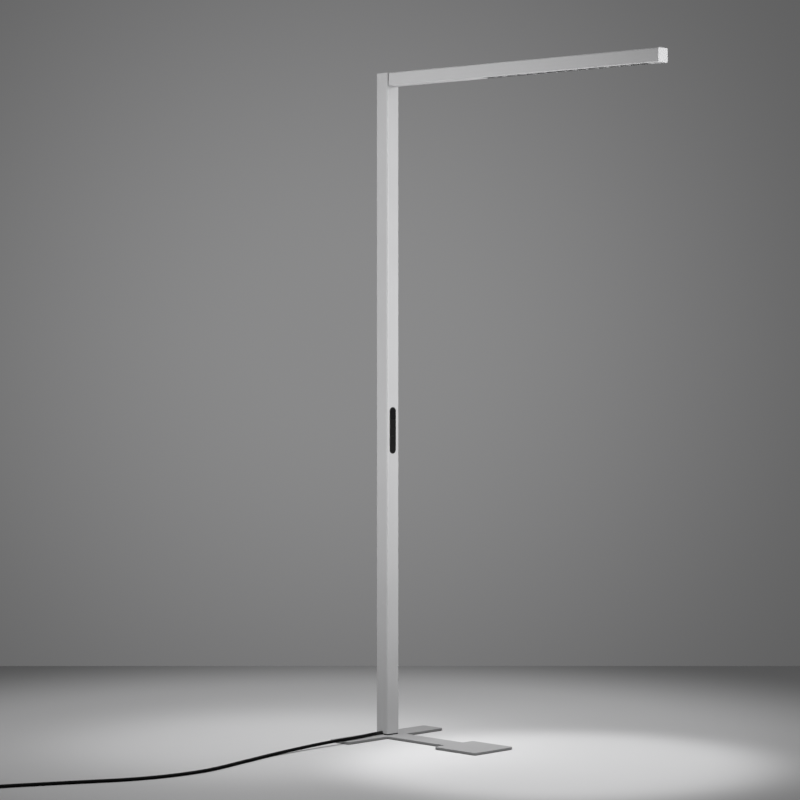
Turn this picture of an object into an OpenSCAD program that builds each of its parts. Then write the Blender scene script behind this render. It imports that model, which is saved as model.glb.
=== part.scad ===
// Office floor lamp: a flat T-shaped steel base, a square aluminium column with a
// control strip, and a slim arm that holds a cross-blade louvre.
// Millimetres. The origin is on the floor under the column, +X runs along the arm.

/* [Lamp] */
// Height of the column and of the arm's top face above the floor
lamp_h = 2000; // [1700:1:2200]
// Reach of the arm from the column's front face to its tip
arm_len = 1048; // [900:1:1200]
// Facets of a full circle
curve_fn = 48; // [36:4:96]

/* [Base] */
// Thickness of the felt under the base plate
felt_t = 1.5; // [1:0.1:3]
// How far the felt stays inside the plate's outline
felt_inset = 2; // [1:0.5:6]
// Thickness of the steel base plate
plate_t = 6; // [5:0.5:10]
// Width of the crossbar and of the stem
leg_w = 77; // [60:1:100]
// How much further than half the leg width the crossbar reaches to the back
bar_back = 5; // [0:0.5:10]
// Length of the crossbar across the arm's direction
bar_len = 400; // [320:1:500]
// Side of the square toe plate at the stem's far end
toe_w = 163; // [120:1:200]
// Distance from the column's axis to the toe plate's far edge
toe_reach = 440; // [380:1:520]
// Radius of the base plate's outer corners
base_r = 8; // [2:0.5:15]
// Radius of the base plate's inner corners
base_fillet = 3; // [1:0.5:10]

/* [Column] */
// Side of the square column
col_w = 49; // [48:0.5:52]
// Radius of the column's outer edges
col_r = 5.5; // [3:0.5:7]
// Wall of the column
col_wall = 3; // [2.5:0.1:3.5]
// Bore of the screw ports in the column's inner corners
port_d = 4.2; // [3:0.1:5]
// Wall round a screw port
port_wall = 1.6; // [1:0.1:2]
// Thickness of the dark spacer between the base plate and the column
spacer_t = 4; // [2:0.5:8]
// How far the spacer stays inside the column's outline
spacer_inset = 1.5; // [0.5:0.5:3]
// Thickness of the column's top cap
cap_t = 2; // [1.5:0.5:4]
// Length of the cap's pins in the screw ports
cap_pin_len = 8; // [5:1:15]

/* [Foot fixing] */
// Height of the block that holds the column's foot
block_h = 60; // [40:1:90]
// Diameter of the screws through the base plate
base_screw_d = 6; // [5:0.5:6.5]
// Length of those screws
base_screw_len = 25; // [20:1:35]
// Distance of each base screw from the column's two middle planes
base_screw_off = 9; // [8.5:0.1:9.4]
// Diameter of the set screws in the column's back
set_screw_d = 5; // [4:0.5:6]
// Width of the cable channel in the foot block
channel_w = 9.6; // [9.2:0.1:10]

/* [Arm] */
// Side of the arm's square section
arm_w = 40; // [38:0.5:42]
// Radius of the arm's outer edges
arm_r = 4; // [2:0.5:5]
// Side wall of the arm profile
arm_wall = 2; // [1.6:0.1:2.4]
// How far the lips reach inwards from the side walls
lip_w = 2; // [1.5:0.1:2.5]
// Thickness of the lips
lip_t = 2; // [1.5:0.1:2.5]
// Thickness of the profile's inner web
web_t = 3; // [2:0.1:4]
// Height of the web's underside above the arm's underside
web_rise = 24; // [23:0.5:25]
// Thickness of the dark gasket between column and arm
gasket_t = 0.8; // [0.5:0.1:2]
// How far the gasket stays inside the arm's outline
gasket_inset = 1; // [0.5:0.1:2]
// Thickness of the cap on the arm's tip
tip_t = 3; // [2:0.5:6]
// Depth of the tip cap's spigot
spigot_len = 6; // [4:0.5:10]
// Thickness of the bracket's end wall
bracket_t = 8; // [6:0.5:12]
// Length of the bracket's tongue under the web
tongue_len = 60; // [45:1:90]
// Thickness of the tongue
tongue_t = 6; // [5:0.5:7]
// Diameter of the screws between arm and column
joint_screw_d = 5; // [4:0.5:5]
// Distance of each joint screw from the arm's middle plane
joint_screw_off = 7.5; // [7.2:0.1:8]

/* [Covers] */
// Thickness of the snap-in covers
cover_t = 1.6; // [1.2:0.1:1.8]
// Thickness of the covers' legs
leg_t = 1.4; // [1:0.1:1.8]
// Height of the covers' legs inside the profile
leg_h = 3; // [2.5:0.1:5]
// Thickness of the barbs that snap over the lips
barb_t = 1.5; // [1:0.1:2]
// How far a barb stands out from its leg
barb_w = 1.6; // [1:0.1:1.8]

/* [Louvre] */
// Number of louvre cells
cells = 16; // [10:1:18]
// Length of one louvre cell
cell_pitch = 39; // [34:1:42]
// Length of the plain end of the arm past the louvre
end_len = 48; // [42:1:80]
// Height of the cross blades
blade_h = 18; // [14:0.5:19]
// Thickness of a blade at its lower edge
blade_foot = 1.2; // [0.8:0.1:2]
// Thickness of a blade at its top
blade_top = 5; // [3:0.5:8]
// Section of the rails that join the blades
rail = 2; // [1.5:0.1:3]
// Thickness of the lens strip
lens_t = 1.7; // [1.2:0.1:2]
// Diameter of one lens
lens_d = 14; // [10:0.5:18]
// How far a lens bulges down
lens_bulge = 3; // [2:0.5:4]
// Thickness of the light boards
board_t = 1.6; // [1.2:0.1:2]
// Width of the light boards
board_w = 24; // [20:1:25]
// Side of one light chip
chip_w = 3.5; // [2.5:0.1:5]
// Thickness of one light chip
chip_t = 0.7; // [0.5:0.1:0.9]
// Spacing of the light chips on the upper board
up_pitch = 30; // [25:1:60]
// Diameter of the presence sensor in the plain end
eye_d = 12; // [8:0.5:16]

/* [Control] */
// Height of the control strip's centre above the floor
control_z = 924; // [800:1:1100]
// Height of the control strip
control_h = 140; // [130:1:160]
// Width of the control strip
control_w = 25; // [24:0.5:27]
// Distance of the control strip from the column's middle plane
control_y = -3; // [-3:0.5:0]
// How far the bezel stands proud of the column
bezel_t = 1.2; // [0.8:0.1:2]
// Width of the bezel's rim beyond its body
bezel_rim = 1.4; // [1:0.1:2]
// Wall of the bezel round the keys' front
bezel_wall = 1.8; // [1.4:0.1:2]
// Depth of the bezel's body behind the column's face
bezel_depth = 6; // [5.5:0.1:7]
// Share of the strip's length that the fixed window takes
window_len = 34; // [25:1:45]
// Travel of a key
key_travel = 0.8; // [0.4:0.1:0.8]
// Depth of the finger dish in a key
dish_depth = 0.5; // [0.3:0.1:0.9]
// Diameter of the sensor eye in the window
window_eye_d = 4; // [2:0.5:8]

/* [Driver] */
// Length of the driver's case
driver_len = 360; // [240:1:380]
// Thickness of the driver's case
driver_t = 21; // [18:0.5:22]
// Width of the driver's case
driver_w = 30; // [26:0.5:30]
// Thickness of the tray that carries the driver
tray_t = 1.5; // [1:0.1:2]
// Free length of the tray below and above the driver
tray_end = 40; // [32:1:60]
// Diameter of the wire from the driver to the arm
lamp_wire_d = 5; // [4:0.5:6]

/* [Mains cord] */
// Diameter of the mains cord
cord_d = 9.6; // [8:0.1:10]
// Diameter of the strain relief where it leaves the column
relief_d = 11.2; // [10.8:0.1:11.6]
// Length of the strain relief outside the column
relief_len = 28.5; // [20:0.5:32]
// Radius of the coil's innermost turn
coil_inner = 42; // [38:1:50]
// Clear space between the turns of the coil
coil_gap = 0.6; // [0.5:0.1:0.7]
// Width of the tie round the coil
tie_w = 12; // [8:1:14]
// Thickness of the tie
tie_t = 0.8; // [0.5:0.1:1]

/* [Plug] */
// Diameter of the plug's face
plug_d = 38; // [36:0.5:38]
// Length of the plug's grip
plug_grip = 34; // [26:1:40]
// Diameter of a plug pin
pin_d = 4.8; // [4:0.1:4.8]
// Length of a plug pin
pin_len = 19; // [17:0.5:19]
// Distance between the two pins
pin_gap = 19; // [18:0.1:19.5]

/* [Hidden] */
$fn = curve_fn;

// Clearances: beside a piece that fits in another, and round a screw
fit = 0.2;
slip = 0.3;
thread = 0.05;
cut = 1;

// Colours
silver = [0.72, 0.72, 0.72];
bright = [0.85, 0.85, 0.86];
dark = [0.12, 0.12, 0.13];
steel = [0.55, 0.56, 0.58];
board_green = [0.1, 0.32, 0.2];
opal = [0.95, 0.95, 0.92];

// Levels and faces that several pieces share
plate_top = felt_t + plate_t;
col_z = plate_top + spacer_t;
col_top = lamp_h - cap_t;
col_face = col_w / 2;
bore_w = col_w - 2 * col_wall;
bore_face = bore_w / 2;
port_at = bore_face - port_d / 2 - 1.2;
plug_w = bore_w - 2 * fit;
plug_arm = 2 * (port_at - port_d / 2 - port_wall - slip);
block_top = col_z + block_h;

arm_z = lamp_h - arm_w;
arm_x = col_face + gasket_t;
arm_end = col_face + arm_len;
tip_x = arm_end - tip_t;
arm_in = arm_w / 2 - arm_wall;
mouth = arm_in - lip_w;
web_z = arm_z + web_rise;
web_top = web_z + web_t;
louvre_x1 = arm_end - end_len;
louvre_x0 = louvre_x1 - cells * cell_pitch;
cover_half = mouth - fit;

// Channel for the arm's wire, shared by insert, gasket, bracket and column
wire_z = arm_z + 12;
wire_hole = lamp_wire_d + 1;
wire_x = -2;
wire_bend = 14;
joint_rows = [arm_z + 6.5, lamp_h - 8];

// A rectangle with round corners, centred
module round_rect(w, h, r) {
  square([w - 2 * r, h], center = true);
  square([w, h - 2 * r], center = true);
  for (sx = [-1, 1], sy = [-1, 1])
    translate([sx * (w / 2 - r), sy * (h / 2 - r)]) circle(r = r);
}

// A slot with round ends that stands along the second axis
module stadium(w, h) {
  square([w, h - w], center = true);
  for (s = [-1, 1]) translate([0, s * (h - w) / 2]) circle(d = w);
}

// Turns a drawing in (Y, Z) so that its thickness runs along +X from x
module along_x(x, len) {
  translate([x, 0, 0]) rotate([90, 0, 90]) linear_extrude(len) children();
}

module box(x, y, z) {
  translate([x[0], y[0], z[0]]) cube([x[1] - x[0], y[1] - y[0], z[1] - z[0]]);
}

// A cylinder along +X from x at (y, z)
module rod_x(x, len, d, y, z) {
  translate([x, y, z]) rotate([0, 90, 0]) cylinder(d = d, h = len);
}

// ---------------------------------------------------------------- base
// One quarter of a fillet in the corner at the origin, open towards sx, sy
module corner_fillet(sx, sy, r) {
  difference() {
    translate([sx > 0 ? -cut : -r, sy > 0 ? -cut : -r]) square(r + cut);
    translate([sx * r, sy * r]) circle(r = r);
  }
}

// The T outline, drawn in by inset all round
module base_outline(inset) {
  w = leg_w - 2 * inset;
  toe = toe_w - 2 * inset;
  r = base_r - inset;
  f = base_fillet + inset;
  toe_x = toe_reach - toe_w / 2;
  difference() {
    union() {
      translate([-bar_back / 2, 0]) round_rect(w + bar_back, bar_len - 2 * inset, r);
      translate([0, -w / 2]) square([toe_x, w]);
      translate([toe_x, 0]) round_rect(toe, toe, r);
      for (s = [-1, 1]) {
        translate([w / 2, s * w / 2]) corner_fillet(1, s, f);
        translate([toe_x - toe / 2, s * w / 2]) corner_fillet(-1, s, f);
      }
    }
  }
}

module at_base_screws() {
  for (sx = [-1, 1], sy = [-1, 1])
    translate([sx * base_screw_off, sy * base_screw_off, 0]) children();
}

// A countersunk screw with its head at z = 0, pointing up
module countersunk(d, len, clear) {
  head = 2 * d;
  cylinder(d1 = head + 2 * clear, d2 = d + 2 * clear, h = d / 2);
  cylinder(d = d + 2 * clear, h = len);
}

module base_felt() {
  color(dark) linear_extrude(felt_t) base_outline(felt_inset);
}

module base_plate() {
  color(silver) difference() {
    translate([0, 0, felt_t]) linear_extrude(plate_t) base_outline(0);
    at_base_screws() translate([0, 0, felt_t - 0.01]) countersunk(base_screw_d, plate_t + cut, slip);
  }
}

module base_screws() {
  color(steel) at_base_screws() translate([0, 0, felt_t + fit]) difference() {
    countersunk(base_screw_d, base_screw_len, 0);
    translate([0, 0, -cut]) cylinder(d = base_screw_d * 0.7, h = cut + base_screw_d / 3, $fn = 6);
  }
}

// ---------------------------------------------------------------- column foot
// The cable leaves through the column's left face, just above the plate
relief_z = plate_top + relief_d / 2;
shoulder_w = relief_d + 3;
shoulder_y = [-bore_face + fit, -bore_face + fit + 2.6];
shoulder_z = [plate_top + fit, relief_z + shoulder_w / 2];
inlet_d = cord_d - 1.4;
inlet_bend = 6.5;
inlet_y = shoulder_y[1] + inlet_bend;
channel_y = inlet_y + inlet_d / 2 + 0.5;

module cable_channel(z0, z1) {
  box([-channel_w / 2, channel_w / 2], [-col_w, channel_y], [z0, z1]);
  box([-shoulder_w / 2 - fit, shoulder_w / 2 + fit], [-col_w, shoulder_y[1] + fit],
      [z0, min(z1, shoulder_z[1] + fit)]);
}

module foot_spacer() {
  w = col_w - 2 * spacer_inset;
  color(dark) difference() {
    translate([0, 0, plate_top]) linear_extrude(spacer_t) round_rect(w, w, col_r - spacer_inset);
    at_base_screws() translate([0, 0, plate_top - cut])
      cylinder(d = base_screw_d + 2 * fit, h = spacer_t + 2 * cut);
    cable_channel(plate_top - cut, col_z + cut);
  }
}

// The cross that fills the column's bore between its screw ports
module bore_cross() {
  square([plug_w, plug_arm], center = true);
  square([plug_arm, plug_w], center = true);
}

set_screw_rows = [col_z + 0.35 * block_h, col_z + 0.75 * block_h];
set_screw_len = 8;

module foot_block() {
  color(steel) difference() {
    translate([0, 0, col_z]) linear_extrude(block_h) bore_cross();
    at_base_screws() translate([0, 0, col_z - cut])
      cylinder(d = base_screw_d + 2 * thread, h = base_screw_len + cut);
    cable_channel(col_z - cut, block_top + cut);
    for (z = set_screw_rows)
      rod_x(-col_face, set_screw_len + cut, set_screw_d + 2 * thread, 0, z);
  }
}

module foot_set_screws() {
  color(dark) for (z = set_screw_rows) difference() {
    rod_x(-col_face + slip, set_screw_len, set_screw_d, 0, z);
    translate([-col_face - cut, 0, z]) rotate([0, 90, 0])
      cylinder(d = set_screw_d / 2, h = cut + set_screw_d / 2, $fn = 6);
  }
}

// ---------------------------------------------------------------- column
module column_section() {
  difference() {
    round_rect(col_w, col_w, col_r);
    difference() {
      round_rect(bore_w, bore_w, 1);
      for (sx = [-1, 1], sy = [-1, 1])
        translate([sx * port_at, sy * port_at]) circle(d = port_d + 2 * port_wall);
    }
    for (sx = [-1, 1], sy = [-1, 1]) translate([sx * port_at, sy * port_at]) {
      circle(d = port_d);
      rotate(atan2(-sy, -sx)) translate([0, -port_d / 4]) square([port_d, port_d / 2]);
    }
  }
}

module at_joint_screws(x) {
  for (s = [-1, 1], z = joint_rows) translate([x, s * joint_screw_off, z]) rotate([0, 90, 0]) children();
}

module column() {
  notch = relief_d / 2 + slip;
  body_w = control_w - 2 * bezel_rim;
  color(silver) difference() {
    translate([0, 0, col_z]) linear_extrude(col_top - col_z) column_section();
    // cable notch
    translate([0, -bore_face + cut, relief_z]) rotate([90, 0, 0])
      cylinder(r = notch, h = col_wall + 2 * cut);
    box([-notch, notch], [-col_face - cut, -bore_face + cut], [col_z - cut, relief_z]);
    // control cut-out
    along_x(bore_face - cut, col_wall + 2 * cut)
      translate([control_y, control_z]) stadium(body_w + 2 * fit, control_h - 2 * bezel_rim + 2 * fit);
    // set screws, arm screws and the arm's wire
    for (z = set_screw_rows) rod_x(-col_face - cut, col_wall + 2 * cut, set_screw_d + 2 * fit, 0, z);
    at_joint_screws(bore_face - cut) cylinder(d = joint_screw_d + 2 * fit, h = col_wall + 2 * cut);
    rod_x(bore_face - cut, col_wall + 2 * cut, wire_hole, 0, wire_z);
  }
}

module column_cap() {
  color(silver) {
    translate([0, 0, col_top]) linear_extrude(cap_t) round_rect(col_w, col_w, col_r);
    for (sx = [-1, 1], sy = [-1, 1])
      translate([sx * port_at, sy * port_at, col_top - cap_pin_len])
        cylinder(d = port_d - 2 * thread, h = cap_pin_len + cap_t / 2);
  }
}

// ---------------------------------------------------------------- mains inlet
relief_end = -col_face - relief_len;
relief_ribs = 5;

module strain_relief() {
  tip = cord_d + 0.6;
  groove = 1.4;
  step = relief_len / (relief_ribs + 1.5);
  color(dark) difference() {
    union() {
      translate([0, -col_face, relief_z]) rotate([90, 0, 0])
        cylinder(d1 = relief_d, d2 = tip, h = relief_len);
      translate([0, shoulder_y[1], relief_z]) rotate([90, 0, 0])
        cylinder(d = relief_d, h = shoulder_y[1] + col_face);
      box([-shoulder_w / 2, shoulder_w / 2], shoulder_y, shoulder_z);
    }
    for (i = [1:relief_ribs]) translate([0, -col_face - i * step, relief_z]) rotate([90, 0, 0])
      difference() {
        cylinder(d = 2 * relief_d, h = groove, center = true);
        cylinder(d = cord_d, h = 2 * groove, center = true);
      }
  }
}

// From the strain relief's shoulder, round a bend and up the channel
module inlet_wire() {
  color(dark) {
    translate([0, shoulder_y[1], relief_z + inlet_bend]) rotate([90, 0, 90])
      rotate_extrude(angle = -90) translate([inlet_bend, 0]) circle(d = inlet_d);
    translate([0, inlet_y, relief_z + inlet_bend])
      cylinder(d = inlet_d, h = block_top - relief_z - inlet_bend);
  }
}

terminal_h = 18;
terminal_x = plug_arm / 2 - 1;
terminal_y = [-bore_face + 3, -3];

module terminal_block() {
  poles = 3;
  pitch = 2 * terminal_x / poles;
  color(opal) difference() {
    box([-terminal_x, terminal_x], terminal_y, [block_top, block_top + terminal_h]);
    for (i = [0:poles - 1]) translate([-terminal_x + (i + 0.5) * pitch, 0, block_top + terminal_h - 6]) {
      translate([0, terminal_y[1] - 5, 0]) cylinder(d = 3.4, h = 6 + cut);
      translate([0, terminal_y[0] + 3.5, 0]) cylinder(d = 2.6, h = 6 + cut);
    }
  }
}

// ---------------------------------------------------------------- driver
tray_x = -bore_face + 6;
tray_w = plug_arm - 0.4;
driver_z = block_top + tray_end;
driver_x = tray_x + tray_t;
tray_top = driver_z + driver_len + tray_end;
driver_end = 14;
driver_sink = 6;
small_wire_d = 4;
driver_wire_x = driver_x + driver_t - driver_sink / 2;
driver_rim = 3;
driver_wire_y = driver_rim + small_wire_d / 2 + fit - driver_w / 2;

// A folded strip that stands on the foot block, with a shelf at each end of the driver
module driver_tray() {
  color(bright) {
    box([tray_x, driver_x], [-tray_w / 2, tray_w / 2], [block_top, tray_top]);
    for (z = [driver_z - tray_t, driver_z + driver_len])
      box([tray_x, tray_x + 9], [-tray_w / 2, tray_w / 2], [z, z + tray_t]);
    box([-bore_face + fit, driver_x], [-tray_w / 2, tray_w / 2], [tray_top - tray_t, tray_top]);
  }
}

module driver() {
  color(bright) difference() {
    box([driver_x, driver_x + driver_t], [-driver_w / 2, driver_w / 2], [driver_z, driver_z + driver_len]);
    // sunk ends for the two terminal rows
    for (z = [driver_z - cut, driver_z + driver_len - driver_end])
      box([driver_x + driver_t - driver_sink, driver_x + driver_t + cut],
          [-driver_w / 2 + driver_rim, driver_w / 2 - driver_rim], [z, z + driver_end + cut]);
  }
}

// From the terminal block up into the driver's lower end
module driver_wire() {
  color(dark) translate([driver_wire_x, driver_wire_y, block_top + terminal_h])
    cylinder(d = small_wire_d, h = driver_z + driver_end - block_top - terminal_h);
}

// ---------------------------------------------------------------- control strip
body_w = control_w - 2 * bezel_rim;
body_h = control_h - 2 * bezel_rim;
front_w = body_w - 2 * bezel_wall;
front_h = body_h - 2 * bezel_wall;
rear_wall = 0.9;
rear_w = body_w - 2 * rear_wall;
bezel_front = col_face + bezel_t;
bezel_back = col_face - bezel_depth;
key_t = 3.1;
key_front = bezel_front - fit;
key_back = key_front - key_t;
step_x = key_back + 0.1;
flange_t = 1.7;
flange_front = step_x - slip;
flange_back = flange_front - flange_t;
window_z = front_h / 2 - window_len;
key_len = (front_h - window_len) / 2;
key_up_z = window_z - key_len;
post_len = 3;
post_d = 5;
board_front = bezel_back - post_len;
board_back = board_front - board_t;
post_rows = [window_z + window_len / 2, -front_h / 2 + 2.5];
end_block = 8;
switch_w = 6;
switch_t = 3.4;
plunger_d = 3.4;

// The strip's pieces are drawn about their own middle plane
module at_control() {
  translate([0, control_y, 0]) children();
}

module slab(x0, x1) {
  along_x(x0, x1 - x0) translate([0, control_z]) children();
}

module control_bezel() {
  at_control() color(dark) difference() {
    union() {
      slab(col_face, bezel_front) stadium(control_w, control_h);
      slab(bezel_back, col_face) stadium(body_w, body_h);
      // ridges that snap behind the column's wall
      for (z = [-1, 1]) box([bore_face - 1, bore_face - 0.1], [-body_w / 2 - 0.7, body_w / 2 + 0.7],
                            [control_z + z * body_h / 4 - 5, control_z + z * body_h / 4 + 5]);
      for (z = post_rows) rod_x(board_front, bezel_back - board_front + cut, post_d, 0, control_z + z);
    }
    slab(step_x, bezel_front + cut) stadium(front_w, front_h);
    // rear room for the keys' flanges, between the two solid ends
    box([bezel_back - cut, step_x + 0.01], [-rear_w / 2, rear_w / 2],
        [control_z - front_h / 2 + end_block, control_z + window_z]);
    // the lower key's round end travels in front of the lower block
    slab(key_back - key_travel - slip, step_x + 0.01) intersection() {
      stadium(front_w, front_h);
      translate([-body_w / 2, -front_h / 2]) square([body_w, end_block + slip]);
    }
    for (z = post_rows)
      rod_x(board_front - cut, post_len + 4, screw_small_d + 2 * thread, 0, control_z + z);
  }
}

// The part of the strip's front between two heights, with half a slip at each of them
module strip_part(z0, z1, side) {
  intersection() {
    stadium(front_w - 2 * side, front_h - 2 * side);
    translate([-front_w, z0 + slip / 2]) square([2 * front_w, z1 - z0 - slip]);
  }
}

module sensor_window() {
  at_control() color(dark) difference() {
    slab(step_x, key_front) strip_part(window_z, front_h / 2 + cut, fit / 2);
    rod_x(key_front - dish_depth, dish_depth + cut, window_eye_d, 0,
          control_z + front_h / 2 - front_w / 2);
  }
}

// A key: its front plate with a finger dish, and a flange behind the bezel's step
module key(z0, z1, flange_z0) {
  dish_r = 60;
  mid = control_z + (z0 + z1) / 2;
  at_control() color(dark) difference() {
    union() {
      slab(key_back, key_front) strip_part(z0, z1, slip);
      box([flange_front, key_back + 0.01], [-front_w / 2 + slip, front_w / 2 - slip],
          [control_z + flange_z0, control_z + z1 - slip]);
      box([flange_back, flange_front], [-rear_w / 2 + slip, rear_w / 2 - slip],
          [control_z + flange_z0, control_z + z1 - slip]);
    }
    translate([key_front - dish_depth + dish_r, -col_w, mid]) rotate([-90, 0, 0])
      cylinder(r = dish_r, h = 2 * col_w);
  }
}

module key_up() {
  key(key_up_z, window_z, key_up_z + slip);
}

module key_down() {
  key(-front_h / 2, key_up_z, -front_h / 2 + end_block + slip);
}

screw_small_d = 2.5;
switch_rows = [key_up_z + key_len / 2, key_up_z - key_len / 2 + end_block / 2];

// Board behind the keys, with its connector at the lower end
connector_z = [control_z - body_h / 2 + 8, control_z - body_h / 2 + 20];
connector_x = [driver_wire_x - small_wire_d / 2 - 0.5, board_back];

module control_board() {
  at_control() color(board_green) difference() {
    union() {
      box([board_back, board_front], [-rear_w / 2 + 1, rear_w / 2 - 1],
          [control_z - body_h / 2 + 1, control_z + body_h / 2 - 1]);
      box([connector_x[0], board_back], [5, rear_w / 2 - 1], connector_z);
    }
    for (z = post_rows)
      rod_x(board_back - cut, board_t + 2 * cut, screw_small_d + 2 * fit, 0, control_z + z);
  }
}

module key_switches() {
  plunger_x = flange_back - key_travel - slip;
  at_control() color(dark) for (z = switch_rows) {
    box([board_front, board_front + switch_t], [-switch_w / 2, switch_w / 2],
        [control_z + z - switch_w / 2, control_z + z + switch_w / 2]);
    rod_x(board_front + switch_t - 0.1, plunger_x - board_front - switch_t + 0.1, plunger_d, 0,
          control_z + z);
  }
}

module control_screws() {
  head_t = 1.6;
  at_control() color(steel) for (z = post_rows) {
    rod_x(board_back, board_t + post_len + 2.5, screw_small_d, 0, control_z + z);
    rod_x(board_back - head_t, head_t, 2 * screw_small_d, 0, control_z + z);
  }
}

control_wire_y = control_y + 7.5;

// Runs straight up from the driver's upper end to the board's connector
module control_wire() {
  z0 = driver_z + driver_len - driver_end;
  color(dark) translate([driver_wire_x, control_wire_y, z0])
    cylinder(d = small_wire_d, h = connector_z[0] - z0);
}

// ---------------------------------------------------------------- column to arm
insert_h = 54;
insert_top = col_top - fit;
joint_screw_len = 30;

module joint_insert() {
  slot = 4;
  color(steel) difference() {
    translate([0, 0, insert_top - insert_h]) linear_extrude(insert_h) bore_cross();
    box([wire_x - slot, col_w], [-slot, slot], [insert_top - insert_h - cut, wire_z + slot]);
    at_joint_screws(bore_face - joint_screw_len) cylinder(d = joint_screw_d + 2 * thread, h = joint_screw_len + cut);
  }
}

module joint_gasket() {
  w = arm_w - 2 * gasket_inset;
  color(dark) difference() {
    along_x(col_face, gasket_t) translate([0, arm_z + arm_w / 2]) round_rect(w, w, arm_r - gasket_inset);
    at_joint_screws(col_face - cut) cylinder(d = joint_screw_d + 2 * fit, h = gasket_t + 2 * cut);
    rod_x(col_face - cut, gasket_t + 2 * cut, wire_hole, 0, wire_z);
  }
}

screw_head_h = joint_screw_d;
screw_head_d = 1.7 * joint_screw_d;

module joint_screws() {
  x0 = arm_x + bracket_t;
  len = x0 - (bore_face - joint_screw_len) - cut;
  color(steel) at_joint_screws(x0 - len) difference() {
    union() {
      cylinder(d = joint_screw_d, h = len);
      translate([0, 0, len]) cylinder(d = screw_head_d, h = screw_head_h);
    }
    translate([0, 0, len + screw_head_h / 2]) cylinder(d = joint_screw_d * 0.9, h = screw_head_h, $fn = 6);
  }
}

bracket_screw_d = 4;
bracket_screw_rows = [0.35, 0.8];
tongue_w = 30;

// End wall that fills the profile's mouth and a tongue under its web
module arm_bracket() {
  color(steel) difference() {
    union() {
      box([arm_x, arm_x + bracket_t], [-arm_in + fit, arm_in - fit],
          [arm_z + lip_t + fit, lamp_h - lip_t - fit]);
      box([arm_x, arm_x + bracket_t], [-cover_half, cover_half], [arm_z, lamp_h]);
      box([arm_x, arm_x + bracket_t + tongue_len], [-tongue_w / 2, tongue_w / 2],
          [web_z - tongue_t, web_z]);
    }
    at_joint_screws(arm_x - cut) cylinder(d = joint_screw_d + 2 * fit, h = bracket_t + 2 * cut);
    rod_x(arm_x - cut, bracket_t + 2 * cut, wire_hole, 0, wire_z);
    for (k = bracket_screw_rows)
      translate([arm_x + bracket_t + k * tongue_len, 0, web_z - tongue_t - cut])
        cylinder(d = bracket_screw_d + 2 * thread, h = tongue_t + 2 * cut);
  }
}

module bracket_screws() {
  color(steel) for (k = bracket_screw_rows)
    translate([arm_x + bracket_t + k * tongue_len, 0, web_top]) mirror([0, 0, 1]) difference() {
      countersunk(bracket_screw_d, web_t + tongue_t, 0);
      translate([0, 0, -cut]) cylinder(d = bracket_screw_d * 0.6, h = cut + 1.2, $fn = 6);
    }
}

// ---------------------------------------------------------------- arm
// Section in (Y, Z) with the arm's underside at Z = 0
module arm_section() {
  difference() {
    translate([0, arm_w / 2]) round_rect(arm_w, arm_w, arm_r);
    translate([-arm_in, lip_t]) square([2 * arm_in, web_rise - lip_t]);
    translate([-arm_in, web_rise + web_t]) square([2 * arm_in, arm_w - lip_t - web_rise - web_t]);
    for (z = [-cut, arm_w - lip_t - cut]) translate([-mouth, z]) square([2 * mouth, lip_t + 2 * cut]);
  }
}

module arm_profile() {
  color(silver) difference() {
    along_x(arm_x, tip_x - arm_x) translate([0, arm_z]) arm_section();
    box([arm_x - cut, arm_x + bracket_t + fit], [-arm_in, arm_in], [web_z - cut, web_top + cut]);
    for (k = bracket_screw_rows)
      translate([arm_x + bracket_t + k * tongue_len, 0, web_top + 0.01]) mirror([0, 0, 1])
        countersunk(bracket_screw_d, web_t + cut, fit);
  }
}

// A snap-in cover in (Y, Z): a flush plate, two legs and a barb over each lip
module cover_section() {
  translate([-cover_half, 0]) square([2 * cover_half, cover_t]);
  for (s = [-1, 1]) {
    translate([s > 0 ? cover_half - leg_t : -cover_half, 0]) square([leg_t, lip_t + leg_h]);
    translate([s > 0 ? cover_half - cut : -cover_half - barb_w, lip_t + slip]) square([barb_w + cut, barb_t]);
  }
}

module blank_cover() {
  x0 = arm_x + bracket_t + fit;
  color(silver) along_x(x0, louvre_x0 - fit - x0) translate([0, arm_z]) cover_section();
}

eye_x = (louvre_x1 + tip_x) / 2;
eye_body = 10;

module end_cover() {
  x0 = louvre_x1 + fit;
  color(silver) difference() {
    along_x(x0, tip_x - fit - x0) translate([0, arm_z]) cover_section();
    translate([eye_x, 0, arm_z - cut]) cylinder(d = eye_d + 2 * fit, h = cover_t + 2 * cut);
  }
}

module presence_sensor() {
  collar = 1.5;
  color(dark) translate([eye_x, 0, arm_z]) {
    translate([0, 0, fit]) cylinder(d = eye_d, h = eye_body);
    translate([0, 0, cover_t]) cylinder(d = eye_d + 4, h = collar);
  }
}

// Bright strips along both sides of the louvre, snapped over the lips
module side_reflectors() {
  x0 = louvre_x0 + fit;
  color(bright) along_x(x0, louvre_x1 - fit - x0) translate([0, arm_z])
    for (s = [-1, 1]) {
      translate([s > 0 ? cover_half - leg_t : -cover_half, 0]) square([leg_t, blade_h]);
      translate([s > 0 ? cover_half - cut : -cover_half - barb_w, lip_t + slip])
        square([barb_w + cut, barb_t]);
    }
}

blade_half = cover_half - leg_t - fit;

// A blade in (X, Z): a thin lower edge that widens upwards along a parabola
function blade_side(s, n = 6) = [
  for (i = [0:n]) let (k = s > 0 ? i / n : 1 - i / n)
    [s * (blade_foot / 2 + (blade_top - blade_foot) / 2 * k * k), k * blade_h]
];

function blade_x(i) =
  i == 0 ? louvre_x0 + fit + blade_top / 2 :
  i == cells ? louvre_x1 - fit - blade_top / 2 : louvre_x0 + i * cell_pitch;

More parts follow.
